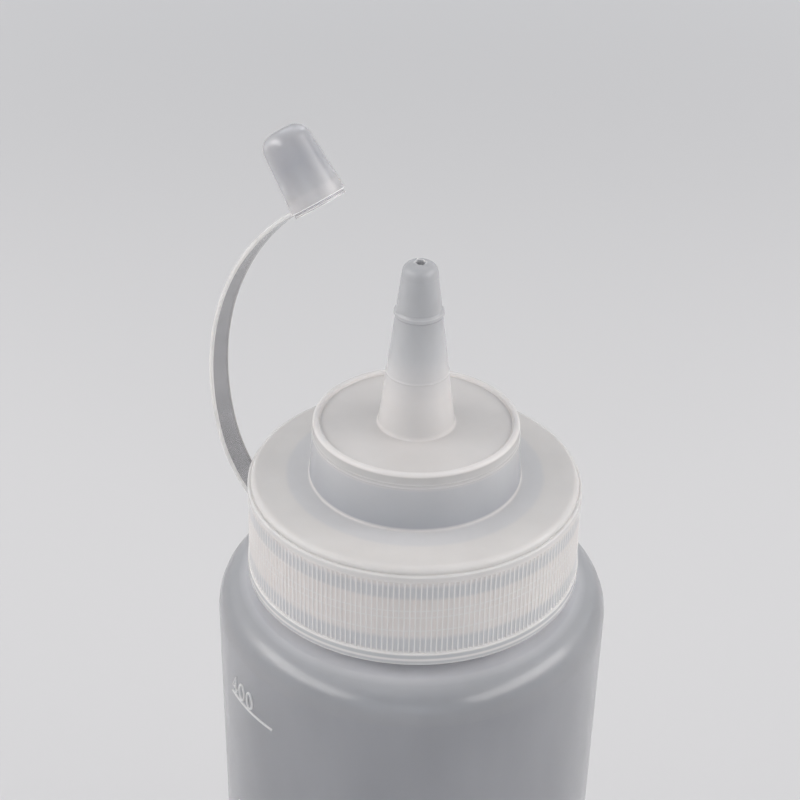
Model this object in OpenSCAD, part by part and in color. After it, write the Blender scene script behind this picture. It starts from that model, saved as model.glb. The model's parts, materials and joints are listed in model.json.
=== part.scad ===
// Soft squeeze bottle with a wide screw lid, a tapered glue nozzle and a tethered tip cap.
// The origin is the centre of the base, on the table. +Z is up.
// The strap of the tip cap bows out towards -X, in the XZ plane.

/* [Bottle] */
// Outer diameter of the straight body
body_d = 70; // [62:1:90]
// Height of the straight body, from the table to the start of the shoulder's round
body_h = 123; // [60:1:200]
// Wall thickness of the body
body_wall = 1.2; // [0.8:0.1:2]
// Thickness of the base
base_t = 1.6; // [1:0.1:3]
// Radius of the round between the base and the side
heel_r = 5; // [3:0.5:8]
// Radius of the round at the top of the body
shoulder_r = 6; // [4:0.5:8]
// Slope of the shoulder between its round and the neck, in degrees
shoulder_slope = 9; // [4:1:16]
// Width of the flat ring that the bottle stands on
foot_w = 4; // [2:0.5:8]
// Height of the push-up in the middle of the base
pushup_h = 2.5; // [1:0.5:4]

/* [Neck] */
// Diameter of the mouth, inside the turned-in lip
mouth_d = 44.6; // [36:0.2:46]
// Wall thickness of the neck
neck_wall = 2; // [1.2:0.1:2.5]
// Height of the turned-in lip at the mouth
lip_h = 1.5; // [1:0.1:3]
// Radial room between the neck and the lid's wall, which the threads fill
thread_room = 2.1; // [1.6:0.1:2.6]

/* [Lid] */
// Outer diameter of the lid at its lower rim
lid_d = 59; // [56:0.5:62]
// Height of the lid, from its lower rim to its flat top
lid_h = 19; // [14:0.5:26]
// Thickness of the lid's side wall
lid_wall = 1.6; // [1.2:0.1:2]
// Thickness of the lid's flat top
lid_top_t = 1.5; // [1:0.1:2.5]
// Draft of the lid's side wall, in degrees
lid_draft = 1.3; // [0:0.1:3]
// Radius of the round at the lid's upper edge
lid_edge_r = 1; // [0.6:0.1:2]
// How far the plain band stands out of that round, as a small step
edge_step = 0.2; // [0.1:0.05:0.4]
// Height of the plain rim below the grip band
rim_h = 2.3; // [1.5:0.1:4]
// How far the plain rim stands out of the plain band
rim_out = 0.15; // [0.1:0.05:0.5]
// Height of the plain band and the edge above the grip band
plain_h = 2.5; // [2.2:0.1:4]
// Depth of the grip band
grip_depth = 0.27; // [0.15:0.01:0.4]
// Number of ribs round the grip band
rib_count = 204; // [60:2:220]
// Width of a rib
rib_w = 0.34; // [0.2:0.02:0.6]
// How far the ribs stay below the plain band
rib_inset = 0.04; // [0.02:0.01:0.1]
// Clear height between the shoulder and the lid's lower rim
lid_gap = 2.5; // [1:0.1:5]
// Thickness of the sealing ring between the mouth and the lid
seal_t = 1; // [0.5:0.1:2]
// Width of the sealing ring
seal_w = 3.2; // [2:0.1:4]

/* [Turret] */
// Outer diameter of the turret at its flat top
turret_d = 35.4; // [30:0.2:38]
// Height of the turret's flat top above the lid's top
turret_h = 10.2; // [6:0.2:16]
// Draft of the turret's side wall, in degrees
turret_draft = 4; // [0:0.5:8]
// Wall thickness of the turret
turret_wall = 1.5; // [1:0.1:2.5]
// Diameter of the round bead at the turret's upper edge
bead_d = 1.2; // [0.8:0.1:2]

/* [Nozzle] */
// Diameter of the nozzle's cone at the turret's top
nozzle_base_d = 13.2; // [11:0.1:15]
// Diameter that the cone would have at the tip
nozzle_tip_d = 5.6; // [5:0.1:6.2]
// Length of the nozzle above the turret's top
nozzle_len = 30; // [24:0.2:45]
// Radius of the round at the tip
tip_round = 1.7; // [1:0.1:1.8]
// Radius of the round between the nozzle and the turret's top
nozzle_foot_r = 0.5; // [0.4:0.1:1.5]
// Wall thickness of the nozzle
nozzle_wall = 1.2; // [0.8:0.1:1.4]
// Diameter of the outlet
outlet_d = 1.8; // [1:0.1:2]
// Length of the straight outlet
outlet_len = 3; // [2:0.5:5]
// Distance of the snap bead below the tip
snap_drop = 8.8; // [8.5:0.1:9.5]
// How far the snap bead stands out of the cone
snap_out = 0.3; // [0.2:0.05:0.4]
// Distance of the fine ring mark below the tip
mark_drop = 19.9; // [15:0.1:22]

/* [Tip cap] */
// Length of the tip cap
cap_len = 14.1; // [13.5:0.1:16]
// Outer diameter of the thin lip round the tip cap's mouth
cap_lip_d = 10; // [9.8:0.1:10.6]
// Height of that lip
cap_lip_h = 0.35; // [0.25:0.05:0.6]
// Height of the groove above the lip
cap_groove_h = 0.45; // [0.3:0.05:0.8]
// Depth of the groove
cap_groove = 0.2; // [0.1:0.05:0.25]
// Outer diameter of the tip cap just above the groove
cap_body_d = 10; // [9.9:0.1:10.4]
// Draft of the tip cap's side wall, in degrees
cap_draft = 3.7; // [1:0.1:4]
// Radius of the round at the tip cap's closed end
cap_edge_r = 2.7; // [1.5:0.1:3]
// Wall thickness of the tip cap
cap_wall = 0.85; // [0.6:0.05:0.9]
// How far the closed tip cap's mouth reaches below the snap bead
cap_grip = 2.2; // [1.8:0.1:2.4]
// Radial room between the snap bead and the tip cap's mouth
snap_clearance = 0.25; // [0.15:0.05:0.3]

/* [Strap] */
// Width of the strap
strap_w = 5; // [3:0.1:7]
// Thickness of the strap
strap_t = 0.8; // [0.6:0.1:1]
// Height of the strap's middle above the lid's lower rim
strap_z = 0.95; // [0.6:0.05:1.4]
// Length of the strap's stub between the lid and its first hinge line
strap_lead = 1.4; // [0.9:0.1:3]
// Length of the strap's stub between its last hinge line and the tip cap
cap_lead = 0.8; // [0.5:0.1:2]
// Height of the strap's middle above the tip cap's mouth
cap_strap_h = 1; // [0.7:0.1:2]
// Turn of the tip cap against the end of the strap, in degrees
cap_lean = 2.4; // [0:0.2:6]
// Radius of the bend next to the lid
root_r = 6.6; // [5:0.1:12]
// Turn of the bend next to the lid, in degrees
root_turn = 48; // [30:1:60]
// Radius of the bend above it
knee_r = 24; // [12:0.5:30]
// Turn of the bend above it, in degrees
knee_turn = 27; // [10:1:35]
// Radius of the long bow up to the tip cap
bow_r = 46.5; // [30:0.5:60]
// Turn of the long bow, in degrees
bow_turn = 67; // [55:1:90]
// Part of the bow's turn that lies between the upper hinge line and the tip cap, in degrees
tab_turn = 16; // [12:1:30]
// Width of the slots that part the strap where it bends
hinge_gap = 0.5; // [0.4:0.05:0.6]

/* [Hidden] */
$fn = 96;
// Overlap that makes cuts and joins clean
eps = 0.01;

bottle_color = [0.78, 0.82, 0.87];
lid_color = [0.93, 0.92, 0.91];
seal_color = [0.86, 0.86, 0.84];
strap_color = [0.88, 0.89, 0.9];

// Bottle: the shoulder's round runs into a slope that ends at the neck
body_r = body_d / 2;
lid_r = lid_d / 2;
lid_in_r = lid_r - lid_wall;
neck_r = lid_in_r - thread_room;
mouth_r = mouth_d / 2;
slope_r = body_r - shoulder_r + shoulder_r * sin(shoulder_slope);
slope_z = body_h + shoulder_r * cos(shoulder_slope);
foot_r = body_r - heel_r;

// Height of the shoulder's slope, moved inwards by a wall t, at the radius r
function shoulder_z(r, t) = slope_z + (slope_r - r) * tan(shoulder_slope) - t / cos(shoulder_slope);

// Lid: everything on it is stacked up from its lower rim
lid_z = shoulder_z(lid_r, 0) + lid_gap;
lid_top_z = lid_z + lid_h;
lid_under_z = lid_top_z - lid_top_t;
lip_z = lid_under_z - seal_t;
turret_r = turret_d / 2;
turret_top_z = lid_top_z + turret_h;
bead_r = bead_d / 2;
tip_z = turret_top_z + nozzle_len;

// Outer radius of the lid's side wall at a height above its lower rim
function lid_side_r(h) = lid_r - rim_out - h * tan(lid_draft);

// Outer radius of the turret's side wall at a height above the lid's lower rim
function turret_side_r(h) = turret_r + (lid_h + turret_h - h) * tan(turret_draft);

// Length by which a rib's ends run into the rim and into the plain band
rib_seat = 0.3;

// Nozzle: a straight cone with a rounded tip
nozzle_base_r = nozzle_base_d / 2;
nozzle_slope = atan((nozzle_base_d - nozzle_tip_d) / 2 / nozzle_len);
outlet_r = outlet_d / 2;

// Outer radius of the nozzle's cone at a distance below its tip
function nozzle_r(drop) = nozzle_tip_d / 2 + drop * tan(nozzle_slope);

tip_round_x = nozzle_r(tip_round) - tip_round / cos(nozzle_slope);
foot_round_x = nozzle_r(nozzle_len - nozzle_foot_r) + nozzle_foot_r / cos(nozzle_slope);
snap_bead_r = 0.7;
mark_bead_r = 0.3;
mark_out = 0.1;

// Tip cap: its mouth passes the snap bead, and a step inside catches it
cap_lip_r = cap_lip_d / 2;
cap_body_r = cap_body_d / 2;
cap_body_h = cap_lip_h + cap_groove_h;
cap_mouth_r = nozzle_r(snap_drop) + snap_out + snap_clearance;
cap_step_h = cap_grip + snap_bead_r + snap_clearance / 2;
cap_edge_h = cap_len - cap_edge_r;

// Outer radius of the tip cap's side wall at a height above its mouth
function cap_side_r(h) = cap_body_r - (h - cap_body_h) * tan(cap_draft);

cap_edge_x = cap_side_r(cap_edge_h) - cap_edge_r / cos(cap_draft);

// Strap: bends that follow each other, each as [radius, turn], from the lid to the tip cap
lower_bends = [[root_r, root_turn], [knee_r, knee_turn], [bow_r, bow_turn - tab_turn]];
upper_bends = [[bow_r, tab_turn]];
root_hinge = [lid_r + strap_lead, lid_z + strap_z];

// Direction of the strap after a bend, and the point where that bend ends, from its start p and direction a
function bend_point(p, a, b) = p + b[0] * [sin(a + b[1]) - sin(a), cos(a) - cos(a + b[1])];
function turn_after(bends, n) = n == 0 ? 0 : turn_after(bends, n - 1) + bends[n - 1][1];
function point_after(p, a, bends, n) =
    n == 0 ? p
           : bend_point(point_after(p, a, bends, n - 1), a + turn_after(bends, n - 1), bends[n - 1]);

mid_turn = turn_after(lower_bends, len(lower_bends));
mid_hinge = point_after(root_hinge, 0, lower_bends, len(lower_bends));
end_turn = mid_turn + turn_after(upper_bends, len(upper_bends));
cap_hinge = point_after(mid_hinge, mid_turn, upper_bends, len(upper_bends));
cap_reach = cap_body_r + cap_lead;

// Turns the strap's drawing plane, with x away from the bottle and y up, into the model's XZ plane
module strap_plane() {
    mirror([1, 0, 0])
        rotate([90, 0, 0])
            children();
}

// Edge view of one bend of the strap, from the point p in the direction a
module strap_bend(p, a, b) {
    reach = 2 * b[0];
    translate(p)
        rotate(a - 90)
            translate([-b[0], 0])
                intersection() {
                    difference() {
                        circle(b[0] + strap_t / 2);
                        circle(b[0] - strap_t / 2);
                    }
                    polygon([
                        [0, 0],
                        [reach, -2 * eps],
                        reach * [cos(b[1] / 2), sin(b[1] / 2)],
                        reach * [cos(b[1]), sin(b[1])]
                    ]);
                }
}

// Edge view of a row of bends, one after the other
module strap_run(p, a, bends) {
    for (i = [0 : len(bends) - 1])
        strap_bend(point_after(p, a, bends, i), a + turn_after(bends, i), bends[i]);
}

// Edge view of the slot across the strap at the hinge line through p, where the strap runs in the direction a
module hinge_slot(p, a) {
    translate(p)
        rotate(a)
            square([hinge_gap, 3 * strap_t], center = true);
}

// Gives an edge view of the strap its width
module strap_width() {
    translate([0, 0, -strap_w / 2])
        linear_extrude(strap_w)
            children();
}

// Half of the bottle's section, moved inwards by a wall t up to the height top
module bottle_section(t, floor_z, r_neck, top) {
    side_r = body_r - t;
    heel = heel_r - t;
    round_r = shoulder_r - t;
    translate([0, floor_z + heel])
        square([side_r, body_h - floor_z - heel]);
    translate([0, floor_z])
        square([side_r - heel, body_h - floor_z]);
    translate([side_r - heel, floor_z + heel])
        circle(heel);
    translate([body_r - shoulder_r, body_h])
        circle(round_r);
    polygon([
        [0, body_h - eps],
        [body_r - shoulder_r, body_h - eps],
        [body_r - shoulder_r + round_r * sin(shoulder_slope), body_h + round_r * cos(shoulder_slope)],
        [r_neck, shoulder_z(r_neck, t)],
        [r_neck, top],
        [0, top]
    ]);
}

// Half of the section of the room inside the bottle
module bottle_room() {
    bottle_section(body_wall, base_t, neck_r - neck_wall, lip_z - lip_h);
    square([mouth_r, lip_z + eps]);
}

module bottle() {
    pushup_r = foot_r - foot_w;
    color(bottle_color)
        rotate_extrude()
            intersection() {
                difference() {
                    bottle_section(0, 0, neck_r, lip_z);
                    difference() {
                        bottle_room();
                        polygon([
                            [0, 0],
                            [pushup_r + base_t + pushup_h, 0],
                            [pushup_r + base_t, base_t + pushup_h],
                            [0, base_t + pushup_h]
                        ]);
                    }
                    polygon([
                        [0, -eps],
                        [pushup_r, -eps],
                        [pushup_r - pushup_h, pushup_h],
                        [0, pushup_h]
                    ]);
                }
                square([body_r + eps, lip_z + eps]);
            }
}

// Flat ring that closes the gap between the mouth's lip and the lid
module lid_seal() {
    color(seal_color)
        translate([0, 0, lip_z])
            difference() {
                cylinder(r = mouth_r + seal_w, h = seal_t);
                translate([0, 0, -eps])
                    cylinder(r = mouth_r, h = seal_t + 2 * eps);
            }
}

// Half of the section of the lid's side wall and top, still closed inside
module lid_shell() {
    edge_z = lid_h - lid_edge_r;
    grip_z = lid_h - plain_h;
    round_r = lid_side_r(edge_z) - edge_step - lid_edge_r;
    polygon([
        [0, 0],
        [lid_r, 0],
        [lid_r, rim_h],
        [lid_side_r(rim_h) - grip_depth, rim_h],
        [lid_side_r(grip_z) - grip_depth, grip_z],
        [lid_side_r(grip_z), grip_z],
        [lid_side_r(edge_z), edge_z],
        [round_r + lid_edge_r, edge_z],
        [round_r, lid_h],
        [0, lid_h]
    ]);
    translate([round_r, edge_z])
        circle(lid_edge_r);
}

// Upright ribs all round the grip band, leaning in with the lid's draft
module grip_ribs() {
    grip_h = lid_h - plain_h - rim_h;
    rib_depth = 2 * grip_depth;
    for (i = [0 : rib_count - 1])
        rotate([0, 0, i * 360 / rib_count])
            translate([lid_side_r(rim_h) - rib_inset, 0, lid_z + rim_h])
                rotate([0, -lid_draft, 0])
                    translate([-rib_depth, -rib_w / 2, -rib_seat])
                        cube([rib_depth, rib_w, grip_h + 2 * rib_seat]);
}

// Half of the section of the turret with the bead round its top
module turret_shell() {
    polygon([
        [0, 0],
        [turret_side_r(0), 0],
        [turret_r, lid_h + turret_h],
        [0, lid_h + turret_h]
    ]);
    translate([turret_r - bead_r, lid_h + turret_h])
        circle(bead_r);
}

// Half of the section of the nozzle's outside, with its tip at the height 0
module nozzle_shell() {
    polygon([
        [0, 0],
        [tip_round_x, 0],
        [tip_round_x + tip_round * cos(nozzle_slope), tip_round * (sin(nozzle_slope) - 1)],
        [nozzle_base_r, -nozzle_len],
        [0, -nozzle_len]
    ]);
    translate([tip_round_x, -tip_round])
        circle(tip_round);
    translate([nozzle_r(snap_drop) + snap_out - snap_bead_r, -snap_drop])
        circle(snap_bead_r);
    translate([nozzle_r(mark_drop) + mark_out - mark_bead_r, -mark_drop])
        circle(mark_bead_r);
    translate([0, nozzle_foot_r - nozzle_len])
        difference() {
            polygon([
                [0, 0],
                [foot_round_x - nozzle_foot_r * cos(nozzle_slope), -nozzle_foot_r * sin(nozzle_slope)],
                [foot_round_x, -nozzle_foot_r],
                [0, -nozzle_foot_r]
            ]);
            translate([foot_round_x, 0])
                circle(nozzle_foot_r);
        }
}

// Half of the section of the nozzle's channel, which narrows to the outlet
module nozzle_channel() {
    foot = nozzle_len + turret_wall + eps;
    polygon([
        [0, -foot],
        [nozzle_r(foot) - nozzle_wall, -foot],
        [nozzle_r(outlet_len) - nozzle_wall, -outlet_len],
        [0, -outlet_len]
    ]);
    translate([0, -outlet_len - eps])
        square([outlet_r, outlet_len + 2 * eps]);
}

// The lid with its turret and nozzle is one moulding, and so is the strap's stub
module lid() {
    under = lid_h - lid_top_t;
    roof = lid_h + turret_h - turret_wall;
    color(lid_color) {
        translate([0, 0, lid_z])
            rotate_extrude()
                difference() {
                    union() {
                        lid_shell();
                        turret_shell();
                        translate([0, tip_z - lid_z])
                            intersection() {
                                nozzle_shell();
                                translate([0, -nozzle_len - eps])
                                    square([foot_round_x, nozzle_len + 2 * eps]);
                            }
                    }
                    polygon([
                        [0, -eps],
                        [lid_in_r, -eps],
                        [lid_side_r(under) + rim_out - lid_wall, under],
                        [0, under]
                    ]);
                    polygon([
                        [0, 0],
                        [turret_side_r(under) - turret_wall, 0],
                        [turret_side_r(under) - turret_wall, under],
                        [turret_side_r(roof) - turret_wall, roof],
                        [0, roof]
                    ]);
                    translate([0, tip_z - lid_z])
                        nozzle_channel();
                }
        grip_ribs();
        strap_plane()
            strap_width()
                difference() {
                    translate([lid_r - lid_wall / 2, root_hinge[1] - strap_t / 2])
                        square([strap_lead + lid_wall / 2, strap_t]);
                    hinge_slot(root_hinge, 0);
                }
    }
}

// The strap from the lid's rim to the upper hinge line
module strap_lower() {
    color(strap_color)
        strap_plane()
            strap_width()
                difference() {
                    strap_run(root_hinge, 0, lower_bends);
                    hinge_slot(root_hinge, 0);
                    hinge_slot(mid_hinge, mid_turn);
                }
}

// The strap from the upper hinge line to the tip cap
module strap_upper() {
    color(strap_color)
        strap_plane()
            strap_width()
                difference() {
                    strap_run(mid_hinge, mid_turn, upper_bends);
                    hinge_slot(mid_hinge, mid_turn);
                    hinge_slot(cap_hinge, end_turn);
                }
}

// Round of the radius r at the tip cap's closed end, cut off at the cap's axis
module cap_round(r) {
    intersection() {
        translate([cap_edge_x, cap_edge_h])
            circle(r);
        square([cap_body_r, cap_len + eps]);
    }
}

// Half of the section of the tip cap's outside, with its mouth at the height 0
module cap_shell() {
    polygon([
        [0, 0],
        [cap_lip_r, 0],
        [cap_lip_r, cap_lip_h],
        [cap_body_r - cap_groove, cap_lip_h],
        [cap_body_r - cap_groove, cap_body_h],
        [cap_body_r, cap_body_h],
        [cap_edge_x + cap_edge_r * cos(cap_draft), cap_edge_h + cap_edge_r * sin(cap_draft)],
        [cap_edge_x, cap_len],
        [0, cap_len]
    ]);
    cap_round(cap_edge_r);
}

// Half of the section of the room inside the tip cap
module cap_room() {
    edge_r = cap_edge_r - cap_wall;
    square([cap_mouth_r, cap_step_h]);
    polygon([
        [0, 0],
        [cap_side_r(0) - cap_wall / cos(cap_draft), 0],
        [cap_edge_x + edge_r * cos(cap_draft), cap_edge_h + edge_r * sin(cap_draft)],
        [cap_edge_x, cap_len - cap_wall],
        [0, cap_len - cap_wall]
    ]);
    cap_round(edge_r);
}

// The cap leans on the end of the strap, which runs into its wall
module tip_cap() {
    color(lid_color)
        strap_plane()
            translate([cap_hinge[0], cap_hinge[1], 0])
                rotate([0, 0, end_turn + cap_lean - 180])
                    difference() {
                        union() {
                            translate([-cap_reach, -cap_strap_h, 0])
                                rotate([-90, 0, 0])
                                    rotate_extrude()
                                        cap_shell();
                            strap_width()
                                translate([-cap_lead - cap_wall, -strap_t / 2])
                                    square([cap_lead + cap_wall - hinge_gap / 2, strap_t]);
                        }
                        translate([-cap_reach, -cap_strap_h - eps, 0])
                            rotate([-90, 0, 0])
                                rotate_extrude()
                                    cap_room();
                    }
}

bottle();
lid_seal();
lid();
strap_lower();
strap_upper();
tip_cap();
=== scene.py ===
"""Looks of the glue applicator bottle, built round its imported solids.

Lengths are in millimetres while the shapes are worked out, and in metres in the meshes.
The origin is the centre of the base, +Z is up, and the strap bows out towards -X.
"""
import json
import math

import bmesh
import bpy
from mathutils import Matrix, Vector


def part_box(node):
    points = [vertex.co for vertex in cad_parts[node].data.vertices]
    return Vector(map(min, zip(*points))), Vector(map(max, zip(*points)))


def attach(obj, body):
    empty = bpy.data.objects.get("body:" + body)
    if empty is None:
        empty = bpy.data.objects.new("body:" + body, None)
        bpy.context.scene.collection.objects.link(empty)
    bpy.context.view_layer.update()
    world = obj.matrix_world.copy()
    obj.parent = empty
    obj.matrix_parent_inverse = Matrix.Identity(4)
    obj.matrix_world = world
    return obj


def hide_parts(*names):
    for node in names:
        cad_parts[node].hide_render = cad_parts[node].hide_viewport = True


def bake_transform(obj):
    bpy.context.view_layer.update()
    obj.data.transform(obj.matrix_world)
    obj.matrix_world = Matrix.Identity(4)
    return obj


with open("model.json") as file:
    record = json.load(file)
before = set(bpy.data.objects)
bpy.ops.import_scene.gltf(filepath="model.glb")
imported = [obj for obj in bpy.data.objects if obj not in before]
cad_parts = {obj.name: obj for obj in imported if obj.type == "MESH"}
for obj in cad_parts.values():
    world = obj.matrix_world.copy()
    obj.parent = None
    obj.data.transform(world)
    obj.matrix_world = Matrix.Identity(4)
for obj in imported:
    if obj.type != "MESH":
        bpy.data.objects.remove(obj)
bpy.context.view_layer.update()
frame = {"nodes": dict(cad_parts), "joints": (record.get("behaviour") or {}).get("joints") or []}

MM = 0.001
TURN = 2 * math.pi
JOINTS = {joint["name"]: joint for joint in frame["joints"]}

# Outer sizes, from the frame
BOTTLE_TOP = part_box("bottle")[1] / MM
LID_LOW, LID_TOP = (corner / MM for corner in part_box("lid"))
SEAL_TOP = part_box("lid_seal")[1] / MM
BODY_R = BOTTLE_TOP.y
LIP_Z = BOTTLE_TOP.z
LID_R = LID_TOP.y
LID_Z = LID_LOW.z
TIP_H = LID_TOP.z - LID_Z
UNDER_H = SEAL_TOP.z - LID_Z

# Bottle
BODY_H = 123.0
BODY_WALL = 1.2
BASE_T = 1.6
HEEL_R = 5.0
SHOULDER_R = 6.0
SHOULDER_SLOPE = math.tan(math.radians(9))
FOOT_W = 4.0
PUSHUP_H = 2.5
MOUTH_R = 22.3
NECK_WALL = 2.0
NECK_R = 25.8
LIP_H = 1.5

# Screw thread: the neck's ridge and the lid's ridge run half a pitch apart
THREAD_PITCH = 4.0
THREAD_H = 1.15
THREAD_HALF_FOOT = 0.95
THREAD_HALF_CREST = 0.4
NECK_THREAD_Z = 2.8
NECK_THREAD_TURNS = (0.35, 2.2)
LID_THREAD_TURNS = (0.2, 2.0)
THREAD_STEP = 0.3
THREAD_END_TURNS = 0.08

# Lid
LID_H = 19.0
LID_WALL = 1.6
LID_DRAFT = math.tan(math.radians(0.7))
LID_EDGE_R = 1.0
EDGE_STEP = 0.55
RIM_H = 2.3
RIM_OUT = 0.15
GRIP_TOP_H = 16.5
GRIP_DEPTH = 0.2
RIB_INSET = 0.04
RIB_COUNT = 204
RIB_FOOT = 0.4
RIB_CREST = 0.22
RIB_FADE_H = 0.25
GRIP_TOP_GAP = 0.1
GRIP_FOOT_GAP = 0.15

# Turret and nozzle
TURRET_R = 17.7
TURRET_H = 29.2
TURRET_DRAFT = math.tan(math.radians(4))
TURRET_WALL = 1.5
BEAD_R = 0.6
RIDGE_DROPS = ((1.3, 1.42, 1.54), (1.94, 2.06, 2.18))
RIDGE_OUT = 0.07
RIDGE_ROUND = 0.04
NOZZLE_TIP_R = 2.8
NOZZLE_BASE_R = 6.6
NOZZLE_FOOT_R = 0.45
NOZZLE_WALL = 1.2
TIP_ROUND = 1.7
OUTLET_R = 0.9
OUTLET_LEN = 3.0
TORN_H = 0.3
TORN_MID = 0.15
TORN_HALF_W = 0.3
TORN_REACH = 0.45
TIP_LINE_DROPS = (2.1, 2.22, 2.35)
TIP_LINE_IN = 0.02
SNAP_DROP = 8.8
SNAP_OUT = 0.3
SNAP_HALF_H = 0.62
MARK_DROP = 19.9
MARK_HALF_H = 0.2
MARK_OUT = 0.1

# Tip cap, measured from its mouth
CAP_LEN = 14.1
CAP_BODY_R = 5.0
CAP_BODY_H = 0.8
CAP_LIP_H = 0.35
CAP_LIP_R = 4.75
CAP_GROOVE = 0.4
CAP_DRAFT = math.tan(math.radians(3.7))
CAP_EDGE_R = 2.7
CAP_WALL = 0.85
CAP_MOUTH_R = 4.46
CAP_STEP_H = 3.02
CAP_STRAP_H = 1.0
CAP_LEAD = 0.8
CAP_LEAN = 2.4

# Strap: straight out of the lid's rim, then bends of a radius and a turn
STRAP_W = 5.0
STRAP_T = 0.8
STRAP_EDGE_R = 0.22
STRAP_BENDS = ((6.6, 48), (24.0, 27), (46.5, 67))
TAB_TURN = 16
STRAP_SEAT = 0.8
STRAP_STEP = 0.5
STRAP_END = 0.6

# Where the strap's three meshes part; the stretches over which they would bend are listed but not used
ROOT_END = 24
TAB_START = 5
ROOT_BEND = (-1.5, 9)
BOW_BEND = (-10, 4.5)
TAB_BEND = (-7, 0.3)

# Smoothness of the shapes
ROUND_STEPS = 168
CORNER_STEP = math.radians(14)
CAP_CORNER_STEP = math.radians(9)
HARD_EDGE = math.radians(38)
LID_HARD_EDGE = math.radians(50)
NEAR = 1e-3

# Light edges: where the bends take a painted highlight, partly for milkier plastic there
EDGE_SUPPORT = 0.22
SHARP_W = 0.2
SHARP_BEND = math.radians(25)
MOST_BENT = 8.0


def lerp(a, b, t):
    return a + (b - a) * t


def smooth(t):
    t = min(max(t, 0.0), 1.0)
    return t * t * (3 - 2 * t)


def rounded(path, closed=False, step=CORNER_STEP):
    """Outline through the corners (r, z, radius), each corner rounded by its radius."""
    points = [Vector(corner[:2]) for corner in path]
    count = len(points)
    half, reach, room = [0.0] * count, [0.0] * count, [1.0] * count
    for i in range(count):
        inner = closed or 0 < i < count - 1
        if not inner or path[i][2] <= 0:
            continue
        back, ahead = points[i - 1] - points[i], points[(i + 1) % count] - points[i]
        half[i] = back.angle(ahead) / 2
        if half[i] < math.pi / 2 - 0.01:
            reach[i] = path[i][2] / math.tan(half[i])
    for i in range(count if closed else count - 1):
        j = (i + 1) % count
        length = (points[j] - points[i]).length
        if reach[i] + reach[j] > length:
            share = 0.999 * length / (reach[i] + reach[j])
            room[i], room[j] = min(room[i], share), min(room[j], share)
    corners = []
    for i, p in enumerate(points):
        cut = reach[i] * room[i]
        if cut < 1e-4:
            corners.append([p])
            continue
        back = (points[i - 1] - p).normalized()
        ahead = (points[(i + 1) % count] - p).normalized()
        radius = cut * math.tan(half[i])
        centre = p + (back + ahead).normalized() * (radius / math.sin(half[i]))
        spoke = p + back * cut - centre
        sweep = math.pi - 2 * half[i]
        if back.cross(ahead) > 0:
            sweep = -sweep
        pieces = max(2, math.ceil(abs(sweep) / step))
        turns = [Matrix.Rotation(sweep * k / pieces, 2) for k in range(pieces + 1)]
        corners.append([centre + turn @ spoke for turn in turns])
    return supported(corners, closed)


def supported(corners, closed=False):
    """Outline through the corners' points, with one more close to each end of a long stretch.

    These points keep the painted edge highlights narrow.
    """
    made = []
    for corner, after in zip(corners, corners[1:] + (corners[:1] if closed else [None])):
        made += corner
        if after is None:
            continue
        a, b = corner[-1], after[0]
        length = (b - a).length
        if length > 3 * EDGE_SUPPORT:
            made += [a.lerp(b, EDGE_SUPPORT / length), b.lerp(a, EDGE_SUPPORT / length)]
    return made


def divided(outline, low, high, step, picks):
    """The outline with its stretches inside low to high, where picks says so, cut into short steps."""
    made = [outline[0]]
    for a, b in zip(outline, outline[1:]):
        if picks(a) and picks(b) and max(a.y, b.y) > low and min(a.y, b.y) < high:
            pieces = max(1, math.ceil((b - a).length / step))
            made += [a.lerp(b, k / pieces) for k in range(1, pieces)]
        made.append(b)
    return made


def thread(angle, z, start, turns):
    """Height, from 0 to 1, of a right-hand screw ridge at an angle and a height."""
    share = angle / TURN
    turn = share + round((z - start) / THREAD_PITCH - share)
    low, high = turns
    if not low <= turn <= high:
        return 0.0
    off = abs(z - start - turn * THREAD_PITCH)
    ridge = (THREAD_HALF_FOOT - off) / (THREAD_HALF_FOOT - THREAD_HALF_CREST)
    ends = smooth(min(turn - low, high - turn) / THREAD_END_TURNS)
    return smooth(ridge) * ends


def vert_at(mesh, radius, angle, z):
    """Vertex at a radius, an angle and a height round the bottle's axis."""
    return mesh.verts.new((radius * math.cos(angle) * MM, radius * math.sin(angle) * MM, z * MM))


def ring(mesh, r, z, steps, swell=None):
    """One ring of vertices round the axis, or a single one on it."""
    if r < 1e-6:
        return [mesh.verts.new((0, 0, z * MM))]
    made = []
    for k in range(steps):
        angle = TURN * k / steps
        radius = r + (swell(angle, z) if swell else 0.0)
        made.append(vert_at(mesh, radius, angle, z))
    return made


def skin(mesh, a, b):
    """Faces between two rings, where one may have a whole number of times the vertices of the other."""
    if len(a) < len(b):
        a, b = b, a
    many, few = len(a), len(b)
    if few == 1:
        for k in range(many):
            mesh.faces.new((a[k], a[(k + 1) % many], b[0]))
        return
    times = many // few
    for k in range(few):
        fine = [a[(k * times + i) % many] for i in range(times + 1)]
        mesh.faces.new((*fine, b[(k + 1) % few], b[k]))


def bend_at(edge):
    """How sharply the surface bends across an edge, per millimetre, below zero in a groove."""
    if not edge.is_manifold:
        return 0.0
    angle = edge.calc_face_angle_signed(0.0)
    if abs(angle) > SHARP_BEND:
        return angle / SHARP_W
    width = sum(face.calc_area() for face in edge.link_faces) / 2 / edge.calc_length() / MM
    return angle / max(width, SHARP_W / 4)


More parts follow.
